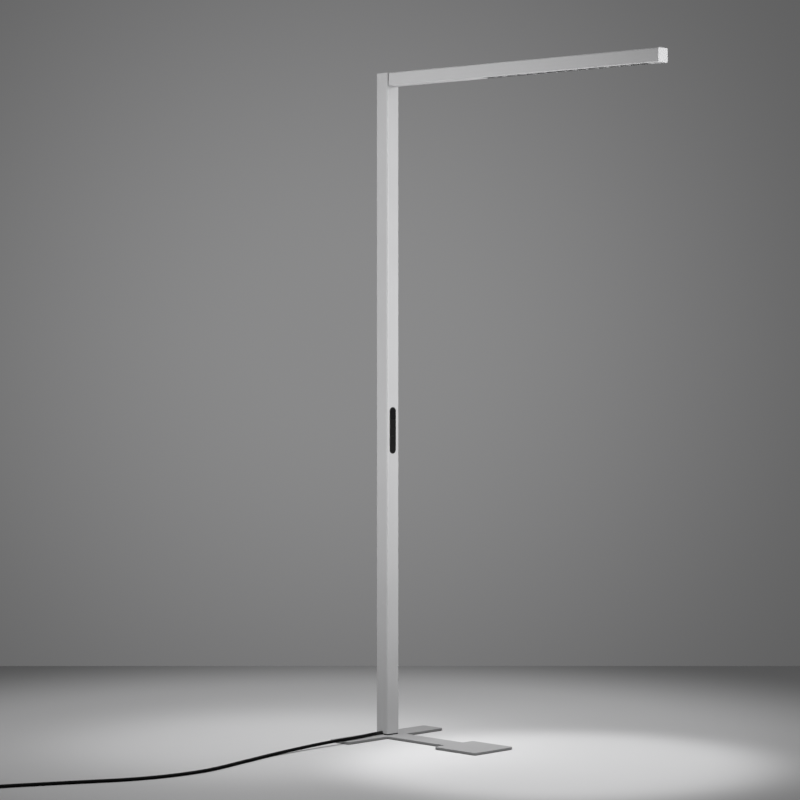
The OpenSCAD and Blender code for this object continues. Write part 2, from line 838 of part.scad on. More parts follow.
module louvre() {
  color(dark) {
    for (i = [0:cells]) translate([blade_x(i), blade_half, arm_z]) rotate([90, 0, 0])
      linear_extrude(2 * blade_half) polygon(concat(blade_side(1), blade_side(-1)));
    for (s = [-1, 1])
      box([blade_x(0), blade_x(cells)], s > 0 ? [blade_half - rail, blade_half] : [-blade_half, rail - blade_half],
          [arm_z + blade_h - rail, arm_z + blade_h]);
  }
}

lens_z = arm_z + blade_h + fit;
function cell_mid(i) = louvre_x0 + (i + 0.5) * cell_pitch;

module lens_strip() {
  r = (lens_d * lens_d / 4 + lens_bulge * lens_bulge) / (2 * lens_bulge);
  color(opal) {
    box([louvre_x0 + fit, louvre_x1 - fit], [-cover_half + leg_t / 2, cover_half - leg_t / 2],
        [lens_z, lens_z + lens_t]);
    for (i = [0:cells - 1]) translate([cell_mid(i), 0, lens_z]) intersection() {
      translate([0, 0, r - lens_bulge]) sphere(r = r);
      translate([0, 0, -lens_bulge - cut]) cylinder(d = lens_d, h = lens_bulge + cut + lens_t / 2);
    }
  }
}

led_end_x = louvre_x0 - 16;
led_plug_len = 10;

module led_board_down() {
  color(bright) {
    box([led_end_x, louvre_x1], [-board_w / 2, board_w / 2], [web_z - board_t, web_z]);
    for (i = [0:cells - 1])
      box([cell_mid(i) - chip_w / 2, cell_mid(i) + chip_w / 2], [-chip_w / 2, chip_w / 2],
          [web_z - board_t - chip_t, web_z - board_t]);
    box([led_end_x, led_end_x + led_plug_len], [-4, 4],
        [wire_z - lamp_wire_d / 2 - 0.5, web_z - board_t]);
  }
}

up_x0 = arm_x + bracket_t + tongue_len + 12;
up_x1 = tip_x - spigot_len - 4;

module led_board_up() {
  n = floor((up_x1 - up_x0) / up_pitch);
  color(bright) {
    box([up_x0, up_x1], [-board_w / 2, board_w / 2], [web_top, web_top + board_t]);
    for (i = [0:n - 1]) let (x = up_x0 + (i + 0.5) * up_pitch)
      box([x - chip_w / 2, x + chip_w / 2], [-chip_w / 2, chip_w / 2],
          [web_top + board_t, web_top + board_t + chip_t]);
  }
}

module top_diffuser() {
  x0 = arm_x + bracket_t + fit;
  color(opal) along_x(x0, tip_x - fit - x0) translate([0, lamp_h]) mirror([0, 1]) cover_section();
}

module arm_end_cap() {
  spigot_w = board_w;
  color(silver) {
    along_x(tip_x, tip_t) translate([0, arm_z + arm_w / 2]) round_rect(arm_w, arm_w, arm_r);
    box([tip_x - spigot_len, tip_x], [-spigot_w / 2, spigot_w / 2], [web_z - 12, web_z - fit]);
    box([tip_x - spigot_len, tip_x], [-spigot_w / 2, spigot_w / 2], [web_top + fit, lamp_h - lip_t - 1]);
  }
}

// Up the column from the driver, round a bend and along the arm to the lower board
module lamp_wire() {
  z0 = driver_z + driver_len;
  color(dark) {
    translate([wire_x, 0, z0]) cylinder(d = lamp_wire_d, h = wire_z - wire_bend - z0);
    translate([wire_x + wire_bend, 0, wire_z - wire_bend]) rotate([90, 0, 0])
      rotate_extrude(angle = -90) translate([-wire_bend, 0]) circle(d = lamp_wire_d);
    rod_x(wire_x + wire_bend, led_end_x - wire_x - wire_bend, lamp_wire_d, 0, wire_z);
  }
}

// ---------------------------------------------------------------- mains cord
// Vector helpers
function unit(v) = v / norm(v);
function sum(list, i = 0) = i >= len(list) ? 0 : list[i] + sum(list, i + 1);

// One point of a Catmull-Rom curve between b and c
function smooth_point(a, b, c, d, t) =
  0.5 * (2 * b + (c - a) * t + (2 * a - 5 * b + 4 * c - d) * t * t + (3 * b - a - 3 * c + d) * t * t * t);

// The smooth line through points, with n steps between each two and straight ends
function smooth_line(p, n) = concat(
  [p[0]],
  [for (i = [1:len(p) - 3], k = [0:n - 1]) smooth_point(p[i - 1], p[i], p[i + 1], p[i + 2], k / n)],
  [p[len(p) - 2], p[len(p) - 1]]);

function line_length(p) = sum([for (i = [0:len(p) - 2]) norm(p[i + 1] - p[i])]);

function heading(p, i) =
  i == 0 ? unit(p[1] - p[0]) :
  i == len(p) - 1 ? unit(p[i] - p[i - 1]) : unit(unit(p[i + 1] - p[i]) + unit(p[i] - p[i - 1]));

// Corners of the ring of a tube of diameter d at point i
function ring(p, i, d, sides) = let (
    along = heading(p, i),
    side = unit(cross(along, [0, 0, 1])),
    up = cross(side, along))
  [for (k = [0:sides - 1]) let (a = 360 * k / sides)
    p[i] + d / 2 * (cos(a) * side + sin(a) * up)];

module tube(p, d, sides) {
  n = len(p);
  points = [for (i = [0:n - 1]) each ring(p, i, d, sides)];
  walls = [for (i = [0:n - 2], k = [0:sides - 1]) let (
      a = i * sides + k, b = i * sides + (k + 1) % sides)
    each [[a, a + sides, b], [b, a + sides, b + sides]]];
  ends = [for (k = [1:sides - 2]) each [
    [0, k, k + 1], [(n - 1) * sides, (n - 1) * sides + k + 1, (n - 1) * sides + k]]];
  polyhedron(points = points, faces = concat(walls, ends));
}

// The coil: two layers of turns. It spirals in on the floor, climbs, and spirals out on top.
coil_at = [-164, -1418];
coil_pitch = cord_d + coil_gap;
turns_in = 2;
turns_out = 2.25;
coil_start_angle = -24;
coil_z = [cord_d / 2 + tie_t + fit, cord_d / 2 + tie_t + fit + coil_pitch];
loop_rings = 24;

function ease(t) = let (k = min(1, max(0, t))) k * k * (3 - 2 * k);

// Point of the coil after t turns, counted from the reversal
function coil_point(t) = let (
    r = coil_inner + coil_pitch * abs(t),
    a = coil_start_angle - 360 * (t + turns_in))
  [coil_at[0] + r * cos(a), coil_at[1] + r * sin(a),
   coil_z[0] + (coil_z[1] - coil_z[0]) * ease(2 * t + 0.5)];

function coil_heading(a) = [sin(a), -cos(a), 0];

coil_steps = (turns_in + turns_out) * loop_rings;
coil_turns = [for (i = [0:coil_steps]) coil_point(i / loop_rings - turns_in)];
coil_in_dir = coil_heading(coil_start_angle);
coil_lead = coil_turns[0] - cord_d * coil_in_dir;
tail_angle = coil_start_angle - 360 * (turns_in + turns_out);
tail_dir = coil_heading(tail_angle);
tail_rise = 40;
tail_len = tail_rise + 1.5 * cord_d;
plug_z = plug_d / 2;
tail_steps = 5;
coil_tail = concat(
  [for (i = [1:tail_steps]) let (s = i / tail_steps)
    coil_turns[len(coil_turns) - 1] + s * tail_rise * tail_dir
      + [0, 0, (plug_z - coil_z[1]) * ease(s)]],
  [coil_turns[len(coil_turns) - 1] + tail_len * tail_dir + [0, 0, plug_z - coil_z[1]]]);
coil_line = concat([coil_lead], coil_turns, coil_tail);
plug_at = coil_line[len(coil_line) - 1];

// Clear space between the coil's own turns, measured on its points
function coil_self_gap(p, skip) = min([
  for (i = [0:len(p) - 1], j = [i + skip:len(p) - 1]) if (j < len(p)) norm(p[i] - p[j])
]) - cord_d;

// Route of the cord over the base and the floor, by hand: X, Y and the height of its underside
cord_route = [
  [3, -90, 7.8],
  [8, -125, 7.7],
  [12, -165, 7.8],
  [14, -205, 8],
  [15, -240, 7.4],
  [16, -280, 6.4],
  [18, -330, 5],
  [21, -380, 3.4],
  [26, -430, 2],
  [32, -482, 0.6],
  [44, -540, 0.1],
  [60, -600, 0.1],
  [74, -657, 0.1],
  [90, -716, 0.1],
  [103, -772, 0.1],
  [110, -821, 0.1],
  [111, -870, 0.1],
  [106, -935, 0.1],
  [91, -1005, 0.1],
  [66, -1075, 0.1],
  [33, -1140, 0.1],
  [0, -1202, 0.1],
  [-30, -1262, 0.1],
  [-57, -1316, 0.2],
  [-82, -1372, 0.5]
];
cord_points = concat(
  [[0, relief_end, relief_z], [0, relief_end - cord_d, relief_z]],
  [for (q = cord_route) q + [0, 0, cord_d / 2]],
  [coil_lead - cord_d * coil_in_dir, coil_lead]);
route_steps = 3;
cord_line = smooth_line(cord_points, route_steps);

module mains_cord() {
  color(dark) tube(cord_line, cord_d, 10);
}

module cord_coil() {
  color(dark) tube(coil_line, cord_d, 6);
}

tie_angle = 66;

module cord_tie() {
  // the band is straight, so the turns bow inwards a little across its width
  bow = 0.6;
  inner = coil_inner - cord_d / 2 - bow - slip;
  outer = coil_inner + coil_pitch * turns_out + cord_d / 2 + slip;
  top = coil_z[1] + cord_d / 2 + fit;
  color(dark) translate([coil_at[0], coil_at[1], 0]) rotate([0, 0, tie_angle]) difference() {
    box([inner - tie_t, outer + tie_t], [-tie_w / 2, tie_w / 2], [0, top + tie_t]);
    box([inner, outer], [-tie_w, tie_w], [tie_t, top]);
  }
}

// Things on the plug's axis, which starts at the cord's end
module on_plug_axis() {
  translate(plug_at + thread * tail_dir) rotate([0, 0, atan2(tail_dir[1], tail_dir[0])]) rotate([0, 90, 0]) children();
}

plug_relief_len = 26;
plug_rim = 6;
plug_len = plug_relief_len + plug_grip;

module plug_body() {
  neck = 15;
  waist = 26;
  earth_w = 6;
  color(dark) difference() {
    on_plug_axis() rotate_extrude() polygon([
      [0, 0], [cord_d / 2 + 0.6, 0], [neck / 2, plug_relief_len],
      [waist / 2, plug_relief_len + 5], [waist / 2 + 1, plug_len - plug_rim - 6],
      [plug_d / 2, plug_len - plug_rim], [plug_d / 2, plug_len], [0, plug_len]]);
    // two earth recesses at the rim, above and below
    on_plug_axis() for (s = [-1, 1])
      translate([s > 0 ? plug_d / 2 - 2.5 : -plug_d / 2 - cut, -earth_w / 2, plug_len - plug_rim - 4])
        cube([2.5 + cut, earth_w, plug_rim + 4 + cut]);
    // bores for the pins
    on_plug_axis() for (s = [-1, 1]) translate([0, s * pin_gap / 2, plug_len - 8])
      cylinder(d = pin_d + 2 * thread, h = 8 + cut);
  }
}

module plug_pins() {
  color(steel) on_plug_axis() for (s = [-1, 1]) translate([0, s * pin_gap / 2, plug_len - 8]) {
    cylinder(d = pin_d, h = 8 + pin_len - 1);
    translate([0, 0, 8 + pin_len - 1]) cylinder(d1 = pin_d, d2 = pin_d - 1.6, h = 1);
  }
}

echo(cord_length_m = (relief_len + line_length(cord_line) + line_length(coil_line)) / 1000);
echo(coil_self_gap_mm = coil_self_gap(coil_line, 12));
echo(cord_rings = len(cord_line), coil_rings = len(coil_line));
echo(cord_lowest_mm = min([for (q = concat(cord_line, coil_line)) q[2]]) - cord_d / 2);
echo(louvre_from_to_mm = [louvre_x0, louvre_x1]);

base_felt();
base_plate();
base_screws();
foot_spacer();
foot_block();
foot_set_screws();
column();
column_cap();
strain_relief();
inlet_wire();
terminal_block();
driver_tray();
driver();
driver_wire();
control_bezel();
sensor_window();
key_up();
key_down();
control_board();
key_switches();
control_screws();
control_wire();
joint_insert();
joint_gasket();
joint_screws();
arm_bracket();
bracket_screws();
arm_profile();
blank_cover();
end_cover();
presence_sensor();
side_reflectors();
louvre();
lens_strip();
led_board_down();
led_board_up();
top_diffuser();
arm_end_cap();
lamp_wire();
mains_cord();
cord_coil();
cord_tie();
plug_body();
plug_pins();
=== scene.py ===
"""Office floor lamp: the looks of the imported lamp, in a plain studio.

The CAD frame gives every rigid piece. This file adds the camera, the studio, the
mains cord with its coil, and a finish for each piece. All sizes are in metres, in
the frame of the CAD: the origin on the floor under the column, +X along the arm.
"""

from __future__ import annotations

import logging
import math
from dataclasses import dataclass, field
from enum import Enum

import bpy
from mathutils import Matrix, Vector


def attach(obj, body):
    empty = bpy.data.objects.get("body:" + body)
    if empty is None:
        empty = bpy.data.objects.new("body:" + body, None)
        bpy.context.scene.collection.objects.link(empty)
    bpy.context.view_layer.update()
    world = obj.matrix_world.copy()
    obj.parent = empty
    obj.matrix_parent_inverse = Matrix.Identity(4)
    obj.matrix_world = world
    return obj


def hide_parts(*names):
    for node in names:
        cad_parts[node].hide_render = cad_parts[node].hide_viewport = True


Colour = tuple[float, float, float]
Point = tuple[float, float, float]

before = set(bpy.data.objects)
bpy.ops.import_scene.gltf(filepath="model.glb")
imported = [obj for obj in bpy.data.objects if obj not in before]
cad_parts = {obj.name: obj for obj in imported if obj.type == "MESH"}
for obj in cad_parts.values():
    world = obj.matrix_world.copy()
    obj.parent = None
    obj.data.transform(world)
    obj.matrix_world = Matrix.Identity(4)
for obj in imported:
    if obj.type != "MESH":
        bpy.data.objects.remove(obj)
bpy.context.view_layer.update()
LAMP = "lamp"

log = logging.getLogger("floor_lamp")
logging.basicConfig(level=logging.INFO, format="%(name)s: %(message)s")


class Grain(Enum):
    """What the surface of a finish is made of."""

    EXTRUDED = "extruded"
    POWDER = "powder"
    SPARK = "spark"
    SATIN = "satin"
    FELT = "felt"
    BOARD = "board"


class Run(Enum):
    """The direction in which a profile came out of its die: its die lines per metre."""

    ALONG_X = (5.0, 900.0, 900.0)
    ALONG_Y = (900.0, 5.0, 900.0)
    ALONG_Z = (900.0, 900.0, 5.0)


# ------------------------------------------------------------------ values of the effects
CLOUD_SCALE = 7.0
EDGE_RADIUS = 0.0011
EDGE_BREAK_SCALE = 160.0
DUST_COLOUR = (0.42, 0.41, 0.39)
DUST_SPECK_SCALE = 900.0
DUST_DRIFT_SCALE = 14.0
HAIR_BEND_SCALE = 30.0
HAIR_BEND = (0.03, 0.03, 0.03)
HAIR_TILT = (0.6, 0.9, 0.5)
HAIR_STRETCH = (18.0, 700.0, 40.0)
HAIR_PATCH_SCALE = 9.0
PEEL_FINER = 4.3
STREAK_SHADE = 0.93
FLECK_SHADE = 1.25
WORN_SHADE, WORN_LIFT = 1.3, 0.06
HAIR_SHADE, HAIR_LIFT = 1.15, 0.05
ACRYLIC_IOR = 1.49


# ------------------------------------------------------------------ shader graphs
class Graph:
    """A short way to add and join the nodes of one tree.

    Args:
        tree: The node tree that the nodes go into.
    """

    def __init__(self, tree: bpy.types.NodeTree) -> None:
        """Keeps the tree and starts the layout at its left."""
        self.tree = tree
        self.column = 0

    def add(self, kind: str, **values: object) -> bpy.types.Node:
        """Adds a node and sets its properties or its input sockets.

        Args:
            kind: Blender's name of the node type.
            **values: Properties of the node, or inputs with spaces as underscores, or
                i and a number for an input by its place. A socket as a value is
                joined, anything else is set.

        Returns:
            The new node.
        """
        node = self.tree.nodes.new(kind)
        node.location = (180 * self.column, -40 * (self.column % 5))
        self.column += 1
        for name, value in values.items():
            if hasattr(node, name) and name not in node.inputs:
                setattr(node, name, value)
                continue
            by_place = name[1:].isdigit()
            socket = node.inputs[int(name[1:]) if by_place else name.replace("_", " ")]
            self.feed(value, socket)
        return node

    def feed(self, value: object, socket: bpy.types.NodeSocket) -> None:
        """Joins a socket to another, or sets it to a plain value.

        Args:
            value: The socket to join from, or the value to set.
            socket: The socket that gets it.
        """
        if isinstance(value, bpy.types.NodeSocket):
            self.tree.links.new(value, socket)
        else:
            socket.default_value = value

    def math(
        self, operation: str, a: object, b: object = 0.0, clamp: bool = False
    ) -> bpy.types.NodeSocket:
        """Adds a Math node.

        Args:
            operation: Blender's name of the operation.
            a: The first value or socket.
            b: The second value or socket.
            clamp: Whether the result is held between 0 and 1.

        Returns:
            The socket of the result.
        """
        node = self.add("ShaderNodeMath", operation=operation, use_clamp=clamp)
        self.feed(a, node.inputs[0])
        self.feed(b, node.inputs[1])
        return node.outputs[0]

    def ramp(
        self, value: object, low: float, high: float, to_low: float = 0.0, to_high: float = 1.0
    ) -> bpy.types.NodeSocket:
        """Maps a value smoothly from one range to another, held at the ends.

        Args:
            value: The value or socket.
            low: Where the first range starts.
            high: Where the first range ends.
            to_low: What low becomes.
            to_high: What high becomes.

        Returns:
            The socket of the result.
        """
        node = self.add("ShaderNodeMapRange", interpolation_type="SMOOTHSTEP")
        for socket, number in zip(node.inputs, (value, low, high, to_low, to_high)):
            self.feed(number, socket)
        return node.outputs[0]

    def mix(self, factor: object, a: object, b: object) -> bpy.types.NodeSocket:
        """Mixes two colours.

        Args:
            factor: Share of the second colour.
            a: The first colour or socket.
            b: The second colour or socket.

        Returns:
            The socket of the mixed colour.
        """
        node = self.add("ShaderNodeMix", data_type="RGBA")
        for index, value in ((0, factor), (6, a), (7, b)):
            self.feed((*value, 1.0) if isinstance(value, tuple) else value, node.inputs[index])
        return node.outputs[2]

    def noise(
        self, vector: object, scale: object, detail: float, roughness: float = 0.5
    ) -> bpy.types.NodeSocket:
        """Adds a noise texture.

        Args:
            vector: Where the noise is read.
            scale: Its size, a number or a socket.
            detail: How many finer layers it has.
            roughness: How strong the finer layers are.

        Returns:
            The socket of its value.
        """
        return self.add("ShaderNodeTexNoise", Vector=vector, Scale=scale, Detail=detail,
                        Roughness=roughness).outputs[0]


class Effect:
    """A shared surface effect: one node group, built once and used with its own values.

    Args:
        name: The name of the group.
        inputs: Pairs of a socket's name and its kind.
        outputs: Pairs of a socket's name and its kind.
    """

    made: dict[str, bpy.types.NodeTree] = {}

    def __init__(
        self, name: str, inputs: list[tuple[str, str]], outputs: list[tuple[str, str]]
    ) -> None:
        """Makes the group's tree with its sockets."""
        self.tree = bpy.data.node_groups.new(name, "ShaderNodeTree")
        for side, sockets in (("INPUT", inputs), ("OUTPUT", outputs)):
            for label, kind in sockets:
                self.tree.interface.new_socket(
                    name=label, in_out=side, socket_type="NodeSocket" + kind)
        self.graph = Graph(self.tree)
        self.given = self.graph.add("NodeGroupInput").outputs
        Effect.made[name] = self.tree

    def put_out(self, **results: bpy.types.NodeSocket) -> None:
        """Joins results to the group's outputs.

        Args:
            **results: The socket of each result, by the output's name.
        """
        end = self.tree.nodes.new("NodeGroupOutput")
        for name, value in results.items():
            self.tree.links.new(value, end.inputs[name])

    @staticmethod
    def use(graph: Graph, name: str, **values: object) -> bpy.types.Node:
        """Places a built effect in a material's graph.

        Args:
            graph: The material's graph.
            name: The name of the effect.
            **values: A value or socket for each of its inputs.

        Returns:
            The group's node.
        """
        node = graph.add("ShaderNodeGroup", node_tree=Effect.made[name])
        for label, value in values.items():
            graph.feed(value, node.inputs[label])
        return node


def build_clouds() -> None:
    """Builds the wide, slow wander of a tone."""
    effect = Effect("clouds", [("Vector", "Vector"), ("Scale", "Float"), ("Seed", "Float")],
                    [("Tone", "Float")])
    g, given = effect.graph, effect.given
    moved = g.add("ShaderNodeVectorMath", operation="ADD", i0=given["Vector"])
    seed = g.add("ShaderNodeCombineXYZ", X=given["Seed"], Y=given["Seed"]).outputs[0]
    g.feed(seed, moved.inputs[1])
    wide = g.noise(moved.outputs[0], given["Scale"], 4.0)
    effect.put_out(Tone=g.ramp(wide, 0.3, 0.7))


def build_die_lines() -> None:
    """Builds the long fine lines that a die leaves along a profile."""
    effect = Effect("die_lines", [("Vector", "Vector"), ("Stretch", "Vector")],
                    [("Height", "Float"), ("Tone", "Float")])
    g, given = effect.graph, effect.given
    drawn = g.add("ShaderNodeVectorMath", operation="MULTIPLY", i0=given["Vector"],
                  i1=given["Stretch"]).outputs[0]
    lines = g.noise(drawn, 1.0, 3.0, 0.6)
    broad = g.noise(drawn, 0.12, 2.0)
    tone = g.math("ADD", g.math("MULTIPLY", lines, 0.5), g.math("MULTIPLY", broad, 0.5))
    effect.put_out(Height=lines, Tone=tone)


def build_orange_peel() -> None:
    """Builds the soft bumps and pale flecks of powder paint."""
    effect = Effect("orange_peel", [("Vector", "Vector"), ("Scale", "Float")],
                    [("Height", "Float"), ("Fleck", "Float")])
    g, given = effect.graph, effect.given
    soft = g.noise(given["Vector"], given["Scale"], 2.0)
    finer = g.noise(given["Vector"], g.math("MULTIPLY", given["Scale"], PEEL_FINER), 1.0)
    effect.put_out(Height=g.math("ADD", soft, g.math("MULTIPLY", finer, 0.35)),
                   Fleck=g.ramp(finer, 0.62, 0.78))


def build_spark_grain() -> None:
    """Builds the pitted grain of a moulded plastic."""
    effect = Effect("spark_grain", [("Vector", "Vector"), ("Scale", "Float")],
                    [("Height", "Float")])
    g, given = effect.graph, effect.given
    pits = g.add("ShaderNodeTexVoronoi", Vector=given["Vector"], Scale=given["Scale"]).outputs[0]
    rough = g.noise(given["Vector"], given["Scale"], 2.0)
    effect.put_out(Height=g.math("ADD", g.math("MULTIPLY", pits, 0.6), rough))


def build_worn_edges() -> None:
    """Builds the broken pale rub along sharp edges."""
    effect = Effect("worn_edges", [("Vector", "Vector"), ("Amount", "Float")],
                    [("Mask", "Float")])
    g, given = effect.graph, effect.given
    rounded = g.add("ShaderNodeBevel", samples=4, Radius=EDGE_RADIUS).outputs[0]
    flat = g.add("ShaderNodeNewGeometry").outputs["True Normal"]
    turn = g.add("ShaderNodeVectorMath", operation="DOT_PRODUCT", i0=rounded,
                 i1=flat).outputs["Value"]
    bare = g.ramp(turn, 0.995, 0.86)
    broken = g.ramp(g.noise(given["Vector"], EDGE_BREAK_SCALE, 4.0), 0.42, 0.62, 0.25, 1.0)
    rub = g.math("MULTIPLY", bare, broken)
    effect.put_out(Mask=g.math("MULTIPLY", rub, given["Amount"], clamp=True))


def build_settled_dust() -> None:
    """Builds the specks and drifts of dust on what faces up."""
    effect = Effect("settled_dust", [("Vector", "Vector"), ("Amount", "Float")],
                    [("Mask", "Float")])
    g, given = effect.graph, effect.given
    normal = g.add("ShaderNodeNewGeometry").outputs["True Normal"]
    up = g.add("ShaderNodeSeparateXYZ", i0=normal).outputs[2]
    lying = g.ramp(up, 0.3, 0.95)
    specks = g.ramp(g.noise(given["Vector"], DUST_SPECK_SCALE, 5.0, 0.7), 0.5, 0.72, 0.15, 1.0)
    drift = g.ramp(g.noise(given["Vector"], DUST_DRIFT_SCALE, 3.0), 0.35, 0.7, 0.2, 1.0)
    amount = g.math("MULTIPLY", g.math("MULTIPLY", specks, drift), given["Amount"])
    effect.put_out(Mask=g.math("MULTIPLY", lying, amount, clamp=True))


def build_fine_scratches() -> None:
    """Builds the bent hair lines that lie in a few patches."""
    effect = Effect("fine_scratches", [("Vector", "Vector"), ("Amount", "Float")],
                    [("Mask", "Float")])
    g, given = effect.graph, effect.given
    bent = g.add("ShaderNodeTexNoise", Vector=given["Vector"], Scale=HAIR_BEND_SCALE, Detail=1.0)
    waved = g.add("ShaderNodeVectorMath", operation="MULTIPLY_ADD", i0=bent.outputs["Color"],
                  i1=HAIR_BEND, i2=given["Vector"]).outputs[0]
    slanted = g.add("ShaderNodeMapping", Vector=waved, Rotation=HAIR_TILT, Scale=HAIR_STRETCH)
    thin = g.ramp(g.noise(slanted.outputs[0], 1.0, 0.0), 0.70, 0.74)
    patch = g.ramp(g.noise(given["Vector"], HAIR_PATCH_SCALE, 2.0), 0.5, 0.65)
    hair = g.math("MULTIPLY", thin, patch)
    effect.put_out(Mask=g.math("MULTIPLY", hair, given["Amount"], clamp=True))


def build_effects() -> None:
    """Builds the node groups that the finishes share."""
    for build in (build_clouds, build_die_lines, build_orange_peel, build_spark_grain,
                  build_worn_edges, build_settled_dust, build_fine_scratches):
        build()


# ------------------------------------------------------------------ finishes
MADE_FINISHES: dict[str, bpy.types.Material] = {}


@dataclass(frozen=True)
class Finish:
    """One surface of the lamp, from its colour to its grain.

    Args:
        name: What it is called; its material's name starts with it.
        colour: The base colour, linear.
        roughness: Middle of the roughness.
        metallic: Share of bare metal in the look.
        grain: What the surface is made of.
        grain_depth: Height of the grain in metres.
        grain_scale: Grains per metre for a grain that isn't extruded.
        variation: How far the tone wanders over the surface, as a share.
        wear: How bright the edges are rubbed.
        dust: How much dust lies on what faces up.
        scratches: How much of the surface has hair lines.
        run: Direction of an extruded grain.
        coat: Weight of a clear coat.
        transmission: Weight of clear plastic or glass.
        shine: Level of the surface's own gloss; 0.5 is a plain plastic.
    """

    name: str
    colour: Colour
    roughness: float
    metallic: float = 0.0
    grain: Grain = Grain.SATIN
    grain_depth: float = 0.00001
    grain_scale: float = 1500.0
    variation: float = 0.05
    wear: float = 0.0
    dust: float = 0.0
    scratches: float = 0.0
    run: Run = Run.ALONG_Z
    coat: float = 0.0
    transmission: float = 0.0
    shine: float = 0.5

    def shade(self, times: float, lift: float = 0.0) -> Colour:
        """The base colour times a number, plus a lift, and no brighter than white."""
        return tuple(min(1.0, lift + c * times) for c in self.colour)

    def height(self, g: Graph, place: bpy.types.NodeSocket) -> bpy.types.NodeSocket:
        """Adds the grain's effect.

        Args:
            g: The material's graph.
            place: Where the grain is read.

        Returns:
            The socket of the grain's height.
        """
        if self.grain is Grain.EXTRUDED:
            lines = Effect.use(g, "die_lines", Vector=place, Stretch=self.run.value)
            return lines.outputs["Height"]
        fine = "orange_peel" if self.grain in (Grain.POWDER, Grain.BOARD) else "spark_grain"
        return Effect.use(g, fine, Vector=place, Scale=self.grain_scale).outputs["Height"]

    def surface(
        self, g: Graph, place: bpy.types.NodeSocket
    ) -> tuple[bpy.types.NodeSocket, bpy.types.NodeSocket]:
        """Lays the tone, streaks, flecks, wear, scratches and dust over each other.

        Args:
            g: The material's graph.
            place: Where the effects are read.

        Returns:
            The sockets of the colour and of the roughness.
        """
        tone = Effect.use(g, "clouds", Vector=place, Scale=CLOUD_SCALE,
                          Seed=float(len(self.name))).outputs["Tone"]
        colour = g.mix(tone, self.shade(1 - self.variation), self.shade(1 + self.variation))
        rough = g.math("ADD", g.math("MULTIPLY", tone, 0.06), self.roughness - 0.03)
        if self.grain is Grain.EXTRUDED:
            lines = Effect.use(g, "die_lines", Vector=place, Stretch=self.run.value)
            streak = g.ramp(lines.outputs["Tone"], 0.3, 0.7, 0.0, 0.35)
            colour = g.mix(streak, colour, self.shade(STREAK_SHADE))
        if self.grain is Grain.POWDER:
            peel = Effect.use(g, "orange_peel", Vector=place, Scale=self.grain_scale)
            fleck = g.math("MULTIPLY", peel.outputs["Fleck"], 0.25)
            colour = g.mix(fleck, colour, self.shade(FLECK_SHADE))
        if self.wear:
            mask = Effect.use(g, "worn_edges", Vector=place, Amount=self.wear).outputs["Mask"]
            colour = g.mix(mask, colour, self.shade(WORN_SHADE, WORN_LIFT))
            rough = g.math("SUBTRACT", rough, g.math("MULTIPLY", mask, 0.08))
        if self.scratches:
            hairs = Effect.use(g, "fine_scratches", Vector=place, Amount=self.scratches)
            mask = hairs.outputs["Mask"]
            colour = g.mix(mask, colour, self.shade(HAIR_SHADE, HAIR_LIFT))
            rough = g.math("ADD", rough, g.math("MULTIPLY", mask, 0.15))
        if self.dust:
            mask = Effect.use(g, "settled_dust", Vector=place, Amount=self.dust).outputs["Mask"]
            colour = g.mix(mask, colour, DUST_COLOUR)
            rough = g.math("ADD", rough, g.math("MULTIPLY", mask, 0.3), clamp=True)
        return colour, rough

    def build(self) -> bpy.types.Material:
        """Builds the material once, and gives the same one afterwards.

        Returns:
            The material.
        """
        if self.name in MADE_FINISHES:
            return MADE_FINISHES[self.name]
        material = bpy.data.materials.new(self.name + "_finish")
        MADE_FINISHES[self.name] = material
        material.use_nodes = True
        tree = material.node_tree
        tree.nodes.clear()
        g = Graph(tree)
        place = g.add("ShaderNodeTexCoord").outputs["Object"]
        colour, rough = self.surface(g, place)
        bump = g.add("ShaderNodeBump", Strength=1.0, Distance=self.grain_depth,
                     Height=self.height(g, place))
        shader = g.add("ShaderNodeBsdfPrincipled", Base_Color=colour, Roughness=rough,
                       Metallic=self.metallic, Coat_Weight=self.coat,
                       Transmission_Weight=self.transmission, Normal=bump.outputs[0])
        shader.inputs["Specular IOR Level"].default_value = self.shine
        if self.grain is Grain.FELT:
            shader.inputs["Sheen Weight"].default_value = 0.5
            shader.inputs["Sheen Roughness"].default_value = 0.4
        if self.transmission:
            shader.inputs["IOR"].default_value = ACRYLIC_IOR
        end = g.add("ShaderNodeOutputMaterial")
        tree.links.new(shader.outputs[0], end.inputs[0])
        return material


SILVER = (0.44, 0.44, 0.445)

SILVER_COLUMN = Finish(
    "silver_profile", SILVER, 0.58, metallic=0.04, grain=Grain.EXTRUDED, grain_depth=0.000012,
    variation=0.02, wear=0.04, scratches=0.2, dust=0.1)
SILVER_ARM = Finish(
    "silver_arm", SILVER, 0.58, metallic=0.04, grain=Grain.EXTRUDED, grain_depth=0.000012,
    variation=0.02, wear=0.12, scratches=0.15, dust=0.1, run=Run.ALONG_X)
SILVER_CAP = Finish(
    "silver_cap", SILVER, 0.56, metallic=0.04, grain_depth=0.0000015, grain_scale=1200.0,
    variation=0.02, wear=0.08, dust=0.05)
BASE_PAINT = Finish(
    "base_paint", (0.42, 0.42, 0.425), 0.58, metallic=0.05, grain=Grain.POWDER,
    grain_depth=0.00002, grain_scale=1100.0, variation=0.03, wear=0.2, dust=0.15,
    scratches=0.25)
FELT = Finish(
    "felt", (0.03, 0.03, 0.032), 0.95, grain=Grain.FELT, grain_depth=0.0002,
    grain_scale=1800.0)
BLACK_PLASTIC = Finish(
    "black_plastic", (0.007, 0.007, 0.0073), 0.5, grain=Grain.SPARK, grain_depth=0.00002,
    grain_scale=3500.0, wear=0.06, variation=0.08, shine=0.15)
